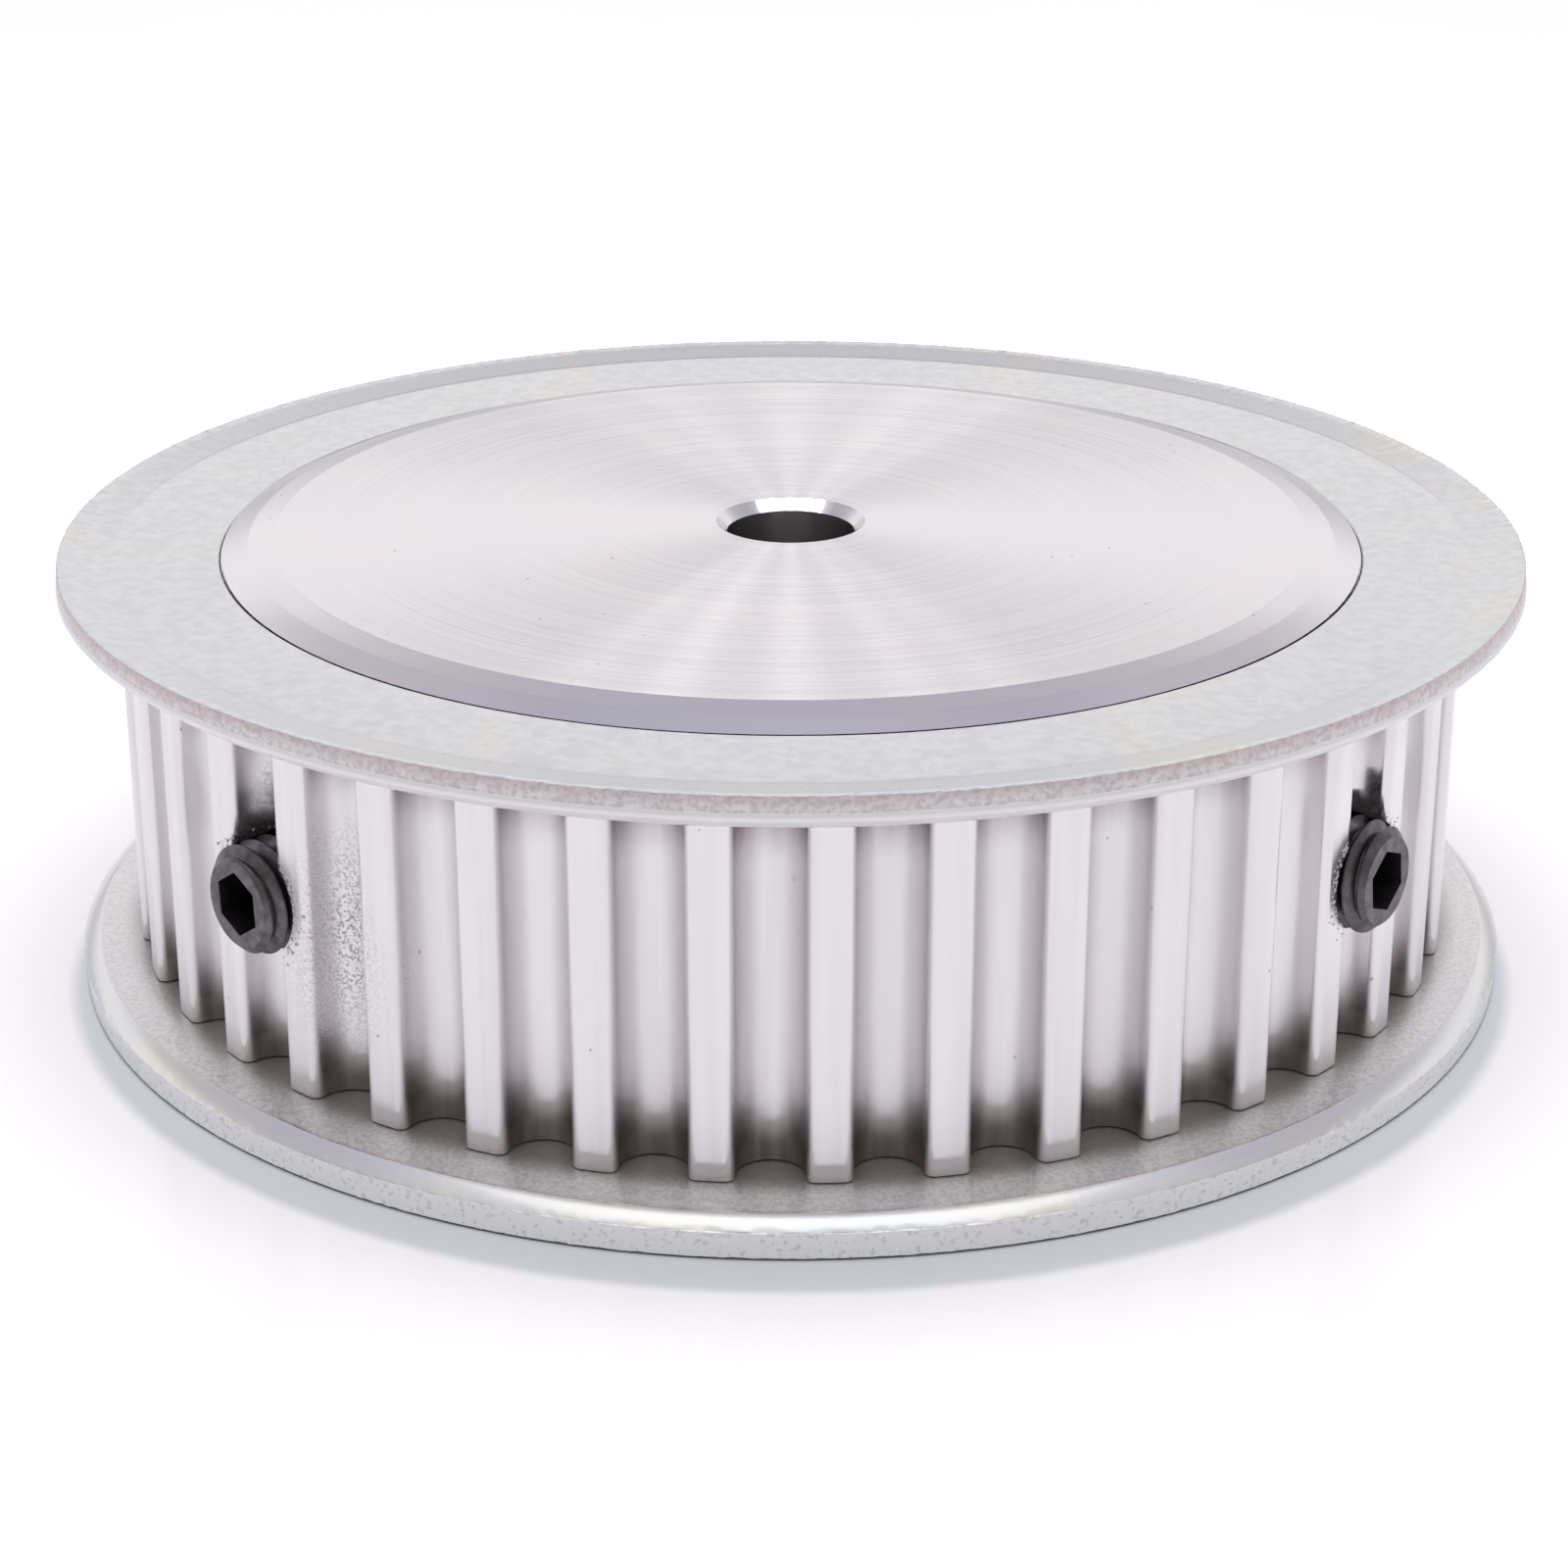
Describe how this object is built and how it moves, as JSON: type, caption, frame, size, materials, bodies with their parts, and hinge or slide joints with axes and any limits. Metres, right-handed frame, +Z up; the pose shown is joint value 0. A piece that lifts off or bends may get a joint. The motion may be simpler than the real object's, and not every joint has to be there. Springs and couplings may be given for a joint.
{
  "type": "timing belt pulley",
  "caption": "Flanged timing belt pulley with round-profile teeth, a plain bore and radial set screws that lock it to a shaft.",
  "frame": {"origin": "on the bore axis at the lower hub face, which the pulley rests on", "axes": "+Z up along the bore; -Y is the side between the two set screws"},
  "size_m": [0.068, 0.068, 0.0204],
  "materials": {
    "machined_aluminium": "fine turned faces and hobbed teeth, bare",
    "zinc_plated_steel": "pressed sheet, satin bright zinc, sheared rim",
    "black_oxide_steel": "black oxide, thin oil film"
  },
  "bodies": {
    "pulley": {"toothed_body": "machined_aluminium", "lower_flange": "zinc_plated_steel", "upper_flange": "zinc_plated_steel"},
    "left_screw": {"left_set_screw": "black_oxide_steel"},
    "right_screw": {"right_set_screw": "black_oxide_steel"}
  },
  "joints": [
    {"name": "left_screw_travel", "type": "slide", "parent": "pulley", "child": "left_screw", "axis": [-0.7266, -0.6871, 0], "range_m": [-0.0192, 0.005]},
    {"name": "right_screw_travel", "type": "slide", "parent": "pulley", "child": "right_screw", "axis": [0.7923, -0.6101, 0], "range_m": [-0.0192, 0.005]}
  ]
}
